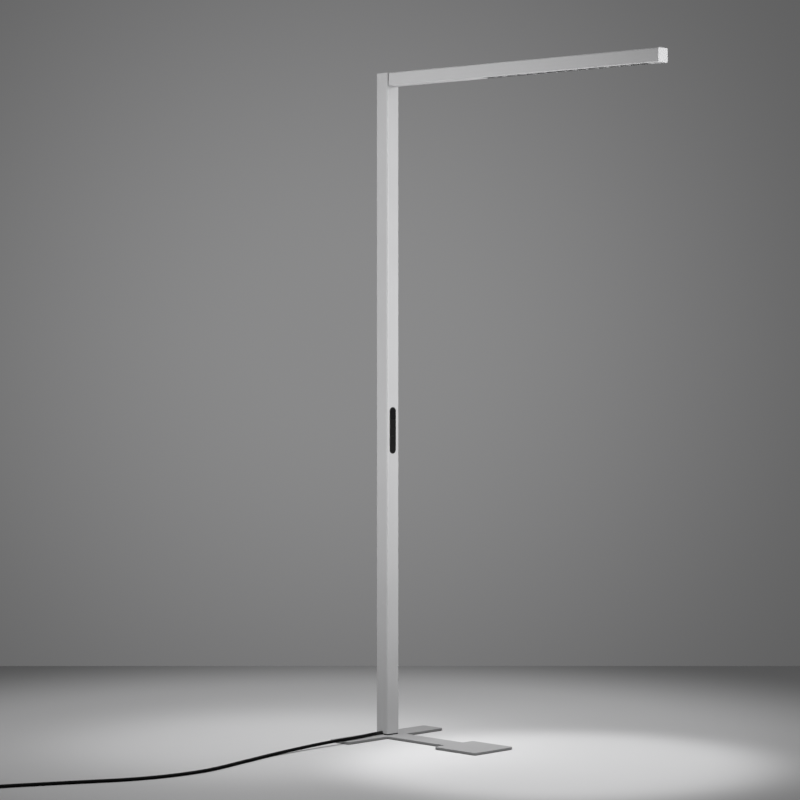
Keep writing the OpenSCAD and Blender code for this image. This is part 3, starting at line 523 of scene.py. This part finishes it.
KEY_BLACK = Finish(
    "key_black", (0.006, 0.006, 0.0065), 0.5, grain=Grain.SPARK, grain_scale=4000.0,
    wear=0.03, variation=0.1, scratches=0.05, shine=0.1)
WINDOW_BLACK = Finish(
    "window_black", (0.005, 0.005, 0.006), 0.2, grain_depth=0.000002, dust=0.05, shine=0.15)
EYE_LENS = Finish("eye_lens", (0.02, 0.02, 0.024), 0.25, coat=0.3, grain_depth=0.000002)
LOUVRE_SATIN = Finish(
    "louvre_satin", (0.50, 0.50, 0.505), 0.42, metallic=0.3, grain=Grain.EXTRUDED,
    run=Run.ALONG_Y, grain_depth=0.000004, variation=0.02, dust=0.08)
REFLECTOR = Finish(
    "reflector", (0.30, 0.30, 0.305), 0.35, metallic=0.3, grain=Grain.EXTRUDED,
    run=Run.ALONG_X, grain_depth=0.000004, variation=0.03)
CLEAR_LENS = Finish(
    "clear_lens", (0.88, 0.88, 0.88), 0.08, transmission=0.75, grain_depth=0.000002,
    variation=0.01)
OPAL = Finish(
    "opal_plastic", (0.72, 0.72, 0.70), 0.45, grain_depth=0.000004, variation=0.02, dust=0.25)
BOARD_WHITE = Finish(
    "board_white", (0.66, 0.66, 0.65), 0.4, grain=Grain.BOARD, grain_scale=900.0)
BOARD_GREEN = Finish(
    "board_green", (0.02, 0.10, 0.045), 0.35, grain=Grain.BOARD, grain_scale=900.0)
DRIVER_CASE = Finish(
    "driver_case", (0.60, 0.60, 0.60), 0.45, metallic=0.3, grain=Grain.POWDER, wear=0.4)
ZINC = Finish(
    "zinc_steel", (0.50, 0.51, 0.53), 0.34, metallic=1.0, grain=Grain.POWDER, variation=0.12,
    wear=0.3)
CAST_BLOCK = Finish(
    "cast_block", (0.52, 0.52, 0.53), 0.5, metallic=0.9, grain=Grain.POWDER,
    grain_depth=0.00003, variation=0.08, wear=0.3)
RUBBER = Finish(
    "black_rubber", (0.006, 0.006, 0.0062), 0.62, grain=Grain.SPARK, grain_scale=3000.0,
    dust=0.03, shine=0.2)
SHEATH = Finish(
    "cord_black", (0.004, 0.004, 0.0042), 0.6, grain=Grain.SPARK, grain_scale=2600.0,
    dust=0.02, variation=0.1, shine=0.1)
PLUG_BLACK = Finish(
    "plug_black", (0.012, 0.012, 0.0125), 0.48, grain=Grain.SPARK, grain_depth=0.00002,
    grain_scale=3000.0, dust=0.1, wear=0.2)
PIN_METAL = Finish(
    "pin_metal", (0.66, 0.65, 0.62), 0.22, metallic=1.0, scratches=0.5, variation=0.06)


# ------------------------------------------------------------------ studio
@dataclass
class Camera:
    """The camera of the photograph, level, with its horizon above the middle.

    Args:
        place: Where it stands.
        yaw: Turn about the vertical from a look along +Y, in degrees.
        lens: Focal length in millimetres.
        sensor: Width of its sensor in millimetres.
        shift: Sideways and upward shift, as shares of the picture's side.
        clip: Nearest and farthest that it sees.
    """

    place: Point = (5.7668, -5.6902, 1.2413)
    yaw: float = 45.126
    lens: float = 120.775
    sensor: float = 36.0
    shift: tuple[float, float] = (0.0004, -0.09375)
    clip: tuple[float, float] = (0.1, 100.0)

    def build(self) -> None:
        """Makes the camera and gives it to the scene."""
        data = bpy.data.cameras.new("camera")
        data.lens, data.sensor_width = self.lens, self.sensor
        data.shift_x, data.shift_y = self.shift
        data.clip_start, data.clip_end = self.clip
        data.dof.use_dof = False
        camera = bpy.data.objects.new("camera", data)
        camera.location = self.place
        camera.rotation_euler = (math.radians(90.0), 0.0, math.radians(self.yaw))
        bpy.context.scene.collection.objects.link(camera)
        bpy.context.scene.camera = camera
        log.info("camera at %s, %.1f mm", self.place, self.lens)


GROUND_PIECES = (
    "studio_floor", "base_plate", "base_felt", "base_screws", "foot_spacer", "mains_lead")
ARM_BEGINNINGS = (
    "arm_", "blank_cover", "end_cover", "presence", "louvre", "lens_", "side_refl")


class Reach(Enum):
    """Which pieces a lamp of the studio lights."""

    GROUND = "ground"
    BASE = "base"
    UPRIGHT = "upright"
    ARM = "arm"

    def pieces(self) -> list[bpy.types.Object]:
        """Finds the pieces, which are all in the scene by now.

        Returns:
            The pieces within this reach.
        """
        solid = [o for o in bpy.data.objects if o.type in {"MESH", "CURVE"}]
        low = [o for o in solid if o.name in GROUND_PIECES]
        if self is Reach.GROUND:
            return low
        if self is Reach.BASE:
            return [o for o in low if o.name.startswith("base_")]
        if self is Reach.ARM:
            return [o for o in solid if o.name.startswith(ARM_BEGINNINGS)]
        return [o for o in solid if o not in low and not o.name.startswith("studio_")]


@dataclass(frozen=True)
class Lamp:
    """One lamp of the studio.

    Args:
        name: What it is called.
        place: Where it hangs.
        aim: What it points at.
        power: In watts.
        cone: Full angle of its cone in degrees; 0 makes a flat area lamp.
        soft: Radius of a cone lamp's bulb, or the sides of an area lamp.
        reach: Which pieces it lights.
        blend: Softness of the cone's edge.
        spread: Spread of an area lamp in degrees.
        through: Whether what lies on the ground shades it, and not what stands up.
    """

    name: str
    place: Point
    aim: Point
    power: float
    cone: float = 0.0
    soft: tuple[float, float] = (0.3, 0.3)
    reach: Reach = Reach.UPRIGHT
    blend: float = 1.0
    spread: float = 180.0
    through: bool = False

    def build(self) -> None:
        """Hangs the lamp and links it to what it lights."""
        data = bpy.data.lights.new(self.name, "SPOT" if self.cone else "AREA")
        data.energy = self.power
        if self.cone:
            data.spot_size, data.spot_blend = math.radians(self.cone), self.blend
            data.shadow_soft_size = self.soft[0]
        else:
            data.shape, data.size, data.size_y = "RECTANGLE", *self.soft
            data.spread = math.radians(self.spread)
        lamp = bpy.data.objects.new(self.name, data)
        lamp.location = self.place
        way = Vector(self.aim) - Vector(self.place)
        lamp.rotation_euler = way.to_track_quat("-Z", "Y").to_euler()
        bpy.context.scene.collection.objects.link(lamp)
        lamp.light_linking.receiver_collection = self.group("lit_by_", self.reach)
        shade = Reach.GROUND if self.through else Reach.UPRIGHT
        lamp.light_linking.blocker_collection = self.group("shades_", shade)
        log.info("lamp %s, %.0f W on %s", self.name, self.power, self.reach.value)

    def group(self, prefix: str, reach: Reach) -> bpy.types.Collection:
        """Gathers the pieces that a reach names.

        Args:
            prefix: Start of the collection's name.
            reach: Which pieces.

        Returns:
            The collection, which isn't linked to the scene.
        """
        made = bpy.data.collections.new(prefix + self.name)
        for piece in reach.pieces():
            made.objects.link(piece)
        return made


LAMPS = (
    Lamp("side_high", (-1.06, -3.25, 2.6), (0.22, 0.0, 1.6), 273.0, cone=44.0),
    Lamp("side_low", (-1.06, -3.25, 1.6), (0.0, 0.0, 1.05), 118.0, cone=46.0),
    Lamp("side_foot", (-1.06, -3.25, 0.9), (0.0, 0.0, 0.5), 106.0, cone=30.0),
    Lamp("front_high", (5.5, 0.15, 1.85), (0.1, 0.0, 1.6), 660.0, cone=34.0),
    Lamp("front_low", (7.6, 1.6, 2.2), (0.1, 0.0, 1.1), 1281.0, cone=22.0),
    Lamp("front_foot", (6.0, 0.3, 1.1), (0.0, 0.0, 0.6), 70.0, cone=20.0),
    Lamp("back_fill", (-3.5, 3.5, 3.0), (0.2, 0.0, 1.0), 200.0, soft=(1.5, 1.5)),
    Lamp("under_arm", (0.6, 0.0, 1.0), (0.6, 0.0, 2.0), 15.0, soft=(1.6, 0.8),
         reach=Reach.ARM),
    Lamp("base_front", (3.6, -3.6, 0.7), (0.2, 0.0, 0.0), 55.0, cone=22.0,
         reach=Reach.BASE),
    Lamp("pool", (0.72, -0.02, 1.9), (0.72, -0.02, 0.0), 52.0, cone=41.0,
         soft=(0.12, 0.12), reach=Reach.GROUND, blend=0.5, through=True),
    Lamp("spill", (-0.12, -0.34, 1.9), (-0.12, -0.34, 0.0), 25.0, cone=50.0,
         soft=(0.2, 0.2), reach=Reach.GROUND, blend=0.8, through=True),
    Lamp("room", (-0.05, 0.15, 1.9), (-0.05, 0.15, 0.0), 7.1, soft=(0.5, 0.5),
         reach=Reach.GROUND, spread=140.0, through=True),
)


@dataclass
class Studio:
    """A pale floor with a painted pool of light, a grey wall behind the lamp with painted light,
    and even air all round.

    Args:
        floor_colour: Colour of the floor as the camera sees it, at the middle of its painted
            pool of light.
        floor_thrown: Grey of the floor for the light that it throws back.
        floor_half: Half the floor's side.
        floor_pool_middle: Middle of the painted pool of light on the floor.
        floor_pool_fade: Where the painted pool of light starts and stops to darken, from that
            middle.
        floor_unlit_share: Share of the colour that is left beyond, as painted shade.
        wall_colour: Colour of the wall at its brightest, in the middle of its painted light.
        wall_back: Grey of the wall for the light that it throws back.
        wall_half: Half the wall's width, and its height.
        wall_distance: How far the wall is from the camera.
        wall_light_middle: Its brightest point, where its painted light is strongest, to the
            right of the view's middle and up.
        wall_light_fade: Where the wall's painted light starts and stops to darken, from that
            point.
        wall_unlit_share: Share of the colour that is left beyond, as painted shade.
        air: Brightness of the world all round.
        camera: The photograph's camera.
    """

    floor_colour: Colour = (0.74, 0.74, 0.745)
    floor_thrown: Colour = (0.15, 0.15, 0.15)
    floor_half: float = 14.0
    floor_pool_middle: Point = (-0.1, -0.1, 0.0)
    floor_pool_fade: tuple[float, float] = (1.1, 2.1)
    floor_unlit_share: float = 0.42
    wall_colour: Colour = (0.251, 0.251, 0.253)
    wall_back: Colour = (0.2, 0.2, 0.2)
    wall_half: float = 9.0
    wall_distance: float = 9.77
    wall_light_middle: tuple[float, float] = (-0.22, 1.2)
    wall_light_fade: tuple[float, float] = (0.2, 2.3)
    wall_unlit_share: float = 0.46
    air: Colour = (0.42, 0.42, 0.422)
    camera: Camera = field(default_factory=Camera)

    def quad(self, name: str, corners: list[Point]) -> bpy.types.Object:
        """Makes a flat four-sided piece of the stage.

        Args:
            name: What it is called; its material has the same name.
            corners: Its four corners in order.

        Returns:
            The new piece.
        """
        mesh = bpy.data.meshes.new(name)
        mesh.from_pydata(corners, [], [(0, 1, 2, 3)])
        piece = bpy.data.objects.new(name, mesh)
        bpy.context.scene.collection.objects.link(piece)
        return piece

    def start(self, name: str) -> tuple[bpy.types.Material, Graph]:
        """Starts a material of the stage.

        Args:
            name: What it is called.

        Returns:
            The material and its empty graph.
        """
        material = bpy.data.materials.new(name)
        material.use_nodes = True
        material.node_tree.nodes.clear()
        return material, Graph(material.node_tree)

    def fade(
        self, g: Graph, middle: Point, reach: tuple[float, float]
    ) -> bpy.types.NodeSocket:
        """Grows from 0 to 1 away from a point.

        Args:
            g: The material's graph.
            middle: The point.
            reach: Distances at which it leaves 0 and comes to 1.

        Returns:
            The socket of the share.
        """
        place = g.add("ShaderNodeTexCoord").outputs["Object"]
        away = g.add("ShaderNodeVectorMath", operation="DISTANCE", i0=place, i1=middle)
        return g.ramp(away.outputs["Value"], *reach)

    def blend(
        self, g: Graph, share: bpy.types.NodeSocket, a: bpy.types.Node, b: bpy.types.Node
    ) -> bpy.types.Node:
        """Mixes two shaders.

        Args:
            g: The material's graph.
            share: Share of the second shader.
            a: The first shader.
            b: The second shader.

        Returns:
            The node of the mix.
        """
        return g.add("ShaderNodeMixShader", i0=share, i1=a.outputs[0], i2=b.outputs[0])

    def floor_material(self) -> bpy.types.Material:
        """Pale where the camera sees it, with a painted pool of light, darker for the light that
        it throws back.

        Returns:
            The floor's material.
        """
        material, g = self.start("studio_floor")
        place = g.add("ShaderNodeTexCoord").outputs["Object"]
        mottle = Effect.use(g, "clouds", Vector=place, Scale=1.4, Seed=3.0).outputs["Tone"]
        pale = g.mix(mottle, tuple(c * 0.985 for c in self.floor_colour), self.floor_colour)
        unlit_tone = tuple(c * self.floor_unlit_share for c in self.floor_colour)
        # Painted pool of light: the floor's colour darkens away from the pool's middle.
        pale = g.mix(self.fade(g, self.floor_pool_middle, self.floor_pool_fade), pale, unlit_tone)
        shown = g.add("ShaderNodeBsdfDiffuse", Color=pale)
        thrown = g.add("ShaderNodeBsdfDiffuse", Color=(*self.floor_thrown, 1.0))
        path = g.add("ShaderNodeLightPath").outputs
        seen = g.math("ADD", path["Is Camera Ray"], path["Is Transmission Ray"], clamp=True)
        g.add("ShaderNodeOutputMaterial", Surface=self.blend(g, seen, thrown, shown).outputs[0])
        return material

    def wall_material(self, middle: Point) -> bpy.types.Material:
        """A grey that glows with painted light, darkening away from its middle, and isn't there
        from behind.

        Args:
            middle: Its brightest point, the middle of the painted light.

        Returns:
            The wall's material.
        """
        material, g = self.start("studio_wall")
        unlit_tone = tuple(c * self.wall_unlit_share for c in self.wall_colour)
        # Painted light: the wall's glowing grey darkens away from its brightest point.
        tone = g.mix(self.fade(g, middle, self.wall_light_fade), self.wall_colour, unlit_tone)
        plain = g.add("ShaderNodeEmission", Color=tone, Strength=1.0)
        dull = g.add("ShaderNodeBsdfDiffuse", Color=(*self.wall_back, 1.0))
        path = g.add("ShaderNodeLightPath").outputs
        both = g.math("ADD", path["Is Camera Ray"], path["Is Glossy Ray"])
        seen = g.math("ADD", both, path["Is Transmission Ray"], clamp=True)
        front = self.blend(g, seen, dull, plain)
        gone = g.add("ShaderNodeBsdfTransparent")
        back = g.add("ShaderNodeNewGeometry").outputs["Backfacing"]
        g.add("ShaderNodeOutputMaterial", Surface=self.blend(g, back, front, gone).outputs[0])
        return material

    def build(self) -> None:
        """Builds the camera, the floor, the wall and the world."""
        self.camera.build()
        yaw = math.radians(self.camera.yaw)
        forward = Vector((-math.sin(yaw), math.cos(yaw), 0.0))
        right = Vector((math.cos(yaw), math.sin(yaw), 0.0))
        half = self.floor_half
        floor = self.quad("studio_floor", [(-half, -half, 0), (half, -half, 0),
                                           (half, half, 0), (-half, half, 0)])
        floor.data.materials.append(self.floor_material())
        stand = Vector((self.camera.place[0], self.camera.place[1], 0.0))
        foot = stand + forward * self.wall_distance
        sideways, up = self.wall_light_middle
        middle = foot + right * sideways + Vector((0.0, 0.0, up))
        left, far_right = foot - right * self.wall_half, foot + right * self.wall_half
        top = Vector((0, 0, self.wall_half))
        corners = [tuple(p) for p in (left, far_right, far_right + top, left + top)]
        wall = self.quad("studio_wall", corners)
        wall.data.materials.append(self.wall_material(tuple(middle)))
        world = bpy.data.worlds.new("studio_air")
        world.use_nodes = True
        air = world.node_tree.nodes["Background"]
        air.inputs[0].default_value = (*self.air, 1.0)
        air.inputs[1].default_value = 1.0
        bpy.context.scene.world = world
        bpy.context.scene.view_settings.view_transform = "Standard"
        log.info("studio with its floor and wall")


# ------------------------------------------------------------------ mains cord
@dataclass
class MainsCord:
    """The round mains cord: its lie over the base and the floor, its coil and its ends.

    Args:
        diameter: Of the sheath.
        exit: Where it leaves the strain relief.
        straight: Length of the straight stretch behind the strain relief.
        route: Points of its lie, each with the height of the sheath's underside.
        steps: Points between two points of the route.
        coil_middle: Middle of the coil on the floor.
        coil_inner: Middle-line radius of the innermost turn.
        coil_gap: Clear space between two turns.
        turns: Turns wound in below and out above.
        turn_steps: Points in a turn of the coil.
        start_angle: Where the coil begins, in degrees.
        low: Height of the lower layer's middle line.
        plug_height: Height of the plug's axis.
        rise_length: Length in which the cord rises from the coil to the plug.
        rise_steps: Points in that rise.
    """

    diameter: float = 0.0096
    exit: Point = (0.0, -0.053, 0.0131)
    straight: float = 0.0096
    route: tuple[Point, ...] = (
        (0.003, -0.090, 0.0078), (0.008, -0.125, 0.0077), (0.012, -0.165, 0.0078),
        (0.014, -0.205, 0.0080), (0.015, -0.240, 0.0074), (0.016, -0.280, 0.0064),
        (0.018, -0.330, 0.0050), (0.021, -0.380, 0.0034), (0.026, -0.430, 0.0020),
        (0.032, -0.482, 0.0006), (0.044, -0.540, 0.0001), (0.060, -0.600, 0.0001),
        (0.074, -0.657, 0.0001), (0.090, -0.716, 0.0001), (0.103, -0.772, 0.0001),
        (0.110, -0.821, 0.0001), (0.111, -0.870, 0.0001), (0.106, -0.935, 0.0001),
        (0.091, -1.005, 0.0001), (0.066, -1.075, 0.0001), (0.033, -1.140, 0.0001),
        (0.0, -1.202, 0.0001), (-0.030, -1.262, 0.0001), (-0.057, -1.316, 0.0002),
        (-0.082, -1.372, 0.0005),
    )
    steps: int = 8
    coil_middle: tuple[float, float] = (-0.164, -1.418)
    coil_inner: float = 0.042
    coil_gap: float = 0.0006
    turns: tuple[float, float] = (2.0, 2.25)
    turn_steps: int = 48
    start_angle: float = -24.0
    low: float = 0.0058
    plug_height: float = 0.019
    rise_length: float = 0.040
    rise_steps: int = 10

    @staticmethod
    def ease(t: float) -> float:
        """Smooth step from 0 to 1."""
        t = min(1.0, max(0.0, t))
        return t * t * (3 - 2 * t)

    def heading(self, turn: float) -> Vector:
        """Level direction of the coil after a number of turns from its start."""
        angle = math.radians(self.start_angle - 360 * turn)
        return Vector((math.sin(angle), -math.cos(angle), 0.0))

    def coil_point(self, turn: float) -> Vector:
        """Finds a point of the coil's middle line.

        Args:
            turn: Turns from where the coil reverses, less than 0 in the lower layer.

        Returns:
            The point.
        """
        pitch = self.diameter + self.coil_gap
        radius = self.coil_inner + pitch * abs(turn)
        angle = math.radians(self.start_angle - 360 * (turn + self.turns[0]))
        height = self.low + pitch * self.ease(2 * turn + 0.5)
        return Vector((self.coil_middle[0] + radius * math.cos(angle),
                       self.coil_middle[1] + radius * math.sin(angle), height))

    def smooth(self, points: list[Vector]) -> list[Vector]:
        """Draws a smooth line through points, with straight first and last stretches.

        Args:
            points: The points, four or more.

        Returns:
            The points of the smooth line.
        """
        line = [points[0]]
        for i in range(1, len(points) - 2):
            a, b, c, d = points[i - 1:i + 3]
            for k in range(self.steps):
                t = k / self.steps
                line.append(0.5 * (2 * b + (c - a) * t + (2 * a - 5 * b + 4 * c - d) * t * t
                                   + (3 * b - a - 3 * c + d) * t * t * t))
        return line + points[-2:]

    def middle_line(self) -> list[Vector]:
        """Draws the whole middle line, from the strain relief to the plug.

        Returns:
            Its points.
        """
        into = self.heading(0.0)
        first = self.coil_point(-self.turns[0])
        lead = first - self.diameter * into
        start = Vector(self.exit)
        lift = Vector((0.0, 0.0, self.diameter / 2))
        lying = self.smooth([start, start - Vector((0.0, self.straight, 0.0))]
                            + [Vector(p) + lift for p in self.route]
                            + [lead - self.diameter * into, lead])
        count = round(sum(self.turns) * self.turn_steps)
        wound = [self.coil_point(i / self.turn_steps - self.turns[0]) for i in range(count + 1)]
        out = self.heading(sum(self.turns))
        rise = self.plug_height - wound[-1].z
        tail = [wound[-1] + self.rise_length * i / self.rise_steps * out
                + Vector((0, 0, rise * self.ease(i / self.rise_steps)))
                for i in range(1, self.rise_steps + 1)]
        tail.append(wound[-1] + (self.rise_length + 1.5 * self.diameter) * out
                    + Vector((0, 0, rise)))
        return lying + wound + tail

    def build(self) -> None:
        line = self.middle_line()
        data = bpy.data.curves.new("mains_lead", "CURVE")
        data.dimensions = "3D"
        data.bevel_depth = self.diameter / 2
        data.bevel_resolution = 5
        data.use_fill_caps = True
        spline = data.splines.new("POLY")
        spline.points.add(len(line) - 1)
        for point, at in zip(spline.points, line):
            point.co = (*at, 1.0)
        spline.use_smooth = True
        lead = bpy.data.objects.new("mains_lead", data)
        bpy.context.scene.collection.objects.link(lead)
        data.materials.append(SHEATH.build())
        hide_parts("mains_cord", "cord_coil")
        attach(lead, LAMP)


# ------------------------------------------------------------------ sub-assemblies
@dataclass
class Assembly:
    """A group of CAD pieces that keep their shape and get their finishes.

    Args:
        name: What the group is called in the log.
        finishes: The finish of each CAD node.
    """

    name: str
    finishes: dict[str, Finish]

    def dress(self) -> None:
        """Gives each CAD node its finish."""
        for node, finish in self.finishes.items():
            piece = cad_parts[node]
            piece.data.materials.clear()
            piece.data.materials.append(finish.build())
            log.info("%s: %s in %s", self.name, node, finish.name)


class Base(Assembly):
    """The felt, the T-shaped plate and what holds the column on it."""

    def __init__(self) -> None:
        """Names the base's pieces."""
        super().__init__("base", {
            "base_felt": FELT, "base_plate": BASE_PAINT, "base_screws": ZINC,
            "foot_spacer": BLACK_PLASTIC, "foot_block": CAST_BLOCK, "foot_set_screws": ZINC,
        })


class Column(Assembly):
    """The square column with its cap and its inner parts."""

    def __init__(self) -> None:
        """Names the column's pieces."""
        super().__init__("column", {
            "column": SILVER_COLUMN, "column_cap": SILVER_CAP, "strain_relief": RUBBER,
            "inlet_wire": RUBBER, "terminal_block": OPAL, "driver_tray": ZINC,
            "driver": DRIVER_CASE, "driver_wire": RUBBER, "control_wire": RUBBER,
            "joint_insert": CAST_BLOCK,
        })


class Control(Assembly):
    """The control strip: frame, window, keys and the board behind them."""

    def __init__(self) -> None:
        """Names the control's pieces."""
        super().__init__("control", {
            "control_bezel": BLACK_PLASTIC, "sensor_window": WINDOW_BLACK, "key_up": KEY_BLACK,
            "key_down": KEY_BLACK, "control_board": BOARD_GREEN, "key_switches": BLACK_PLASTIC,
            "control_screws": ZINC,
        })


class Arm(Assembly):
    """The arm's profile, its joint to the column, its covers and its end cap."""

    def __init__(self) -> None:
        """Names the arm's pieces."""
        super().__init__("arm", {
            "joint_gasket": RUBBER, "joint_screws": ZINC, "arm_bracket": CAST_BLOCK,
            "bracket_screws": ZINC, "arm_profile": SILVER_ARM, "blank_cover": SILVER_ARM,
            "end_cover": SILVER_ARM, "presence_sensor": EYE_LENS, "arm_end_cap": SILVER_CAP,
            "lamp_wire": RUBBER,
        })


class Optics(Assembly):
    """The louvre, its reflectors, the lenses, the light boards and the upper cover."""

    def __init__(self) -> None:
        """Names the optics' pieces."""
        super().__init__("optics", {
            "side_reflectors": REFLECTOR, "louvre": LOUVRE_SATIN, "lens_strip": CLEAR_LENS,
            "led_board_down": BOARD_WHITE, "led_board_up": BOARD_WHITE, "top_diffuser": OPAL,
        })


class CordFittings(Assembly):
    """What is on the mains cord: its tie and its plug."""

    def __init__(self) -> None:
        """Names the pieces on the cord."""
        super().__init__("cord", {
            "cord_tie": BLACK_PLASTIC, "plug_body": PLUG_BLACK, "plug_pins": PIN_METAL,
        })


def main() -> None:
    """Builds the studio, the cord, the finishes and the lamps."""
    build_effects()
    Studio().build()
    MainsCord().build()
    for assembly in (Base(), Column(), Control(), Arm(), Optics(), CordFittings()):
        assembly.dress()
    for lamp in LAMPS:
        lamp.build()


if __name__ == "__main__":
    main()
